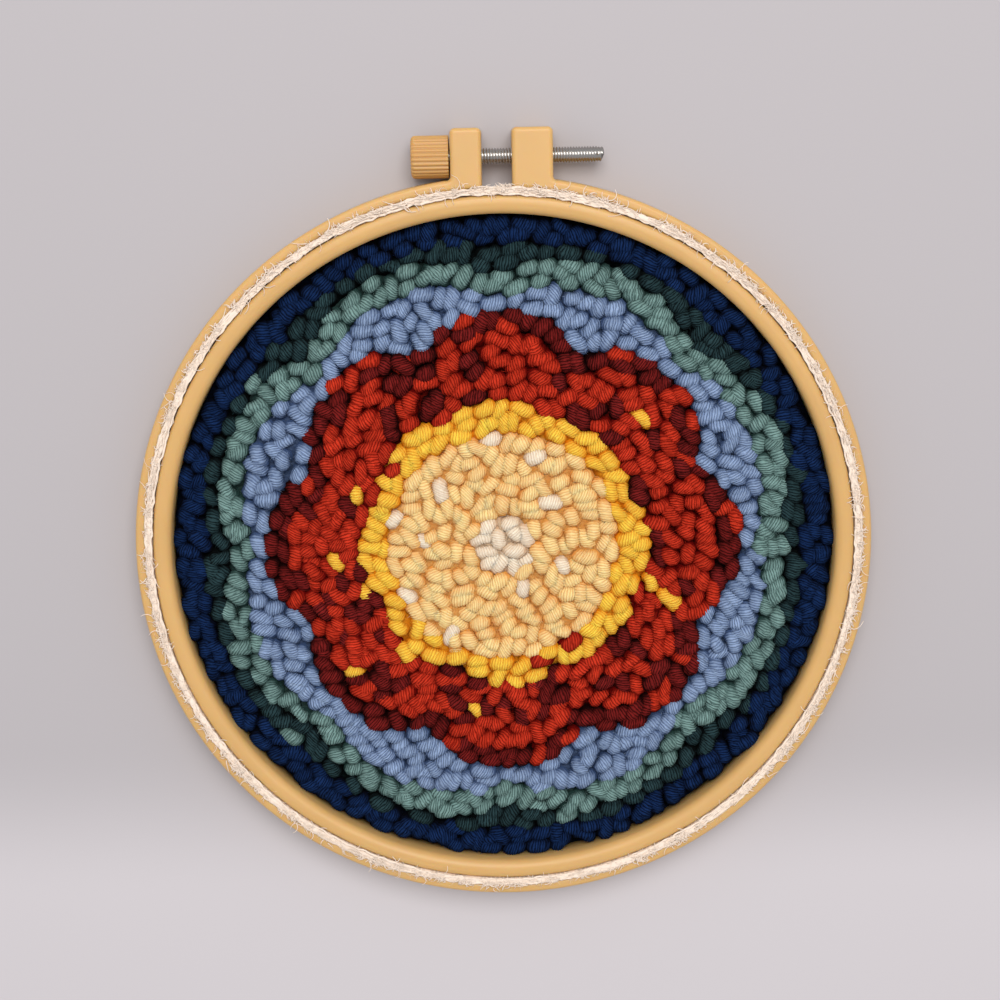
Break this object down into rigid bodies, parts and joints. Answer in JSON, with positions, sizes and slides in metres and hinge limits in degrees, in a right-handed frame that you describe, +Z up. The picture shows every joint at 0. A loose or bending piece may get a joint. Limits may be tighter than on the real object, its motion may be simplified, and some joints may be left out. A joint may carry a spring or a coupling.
{
  "type": "punch needle wall piece in an embroidery hoop",
  "caption": "Round cloth worked in looped yarn pile, stretched in a two-ring plastic embroidery hoop closed by a knob and threaded rod; for hanging on a wall.",
  "frame": {"origin": "bottom centre of the bounding box, on the surface that the hoop's back lies on", "axes": "+Z up out of the worked face, +Y towards the clamp, +X to the right seen from the front with the clamp at the top"},
  "size_m": [0.19, 0.202, 0.0135],
  "materials": {
    "hoop_plastic": "tan moulded plastic, satin",
    "steel": "bright zinc-plated thread",
    "cloth": "plain woven pinkish-white cloth with a frayed edge",
    "yarn_white": "soft plied yarn",
    "yarn_cream": "soft plied yarn",
    "yarn_yellow": "soft plied yarn",
    "yarn_orange_red": "soft plied yarn",
    "yarn_dark_red": "soft plied yarn",
    "yarn_light_blue": "soft plied yarn",
    "yarn_sage": "soft plied yarn",
    "yarn_dark_green": "soft plied yarn",
    "yarn_navy": "soft plied yarn"
  },
  "bodies": {
    "hoop": {"outer_ring": "hoop_plastic", "inner_ring": "hoop_plastic", "ground_cloth": "cloth", "yarn_white": "yarn_white", "yarn_cream": "yarn_cream", "yarn_yellow": "yarn_yellow", "yarn_orange_red": "yarn_orange_red", "yarn_dark_red": "yarn_dark_red", "yarn_light_blue": "yarn_light_blue", "yarn_sage": "yarn_sage", "yarn_dark_green": "yarn_dark_green", "yarn_navy": "yarn_navy"},
    "clamp_screw": {"clamp_rod": "steel", "clamp_knob": "hoop_plastic"}
  },
  "joints": [
    {"name": "clamp_screw_turn", "type": "hinge", "parent": "hoop", "child": "clamp_screw", "pos_m": [0, 0.09395, 0.0057], "axis": [1, 0, 0], "continuous": true}
  ]
}
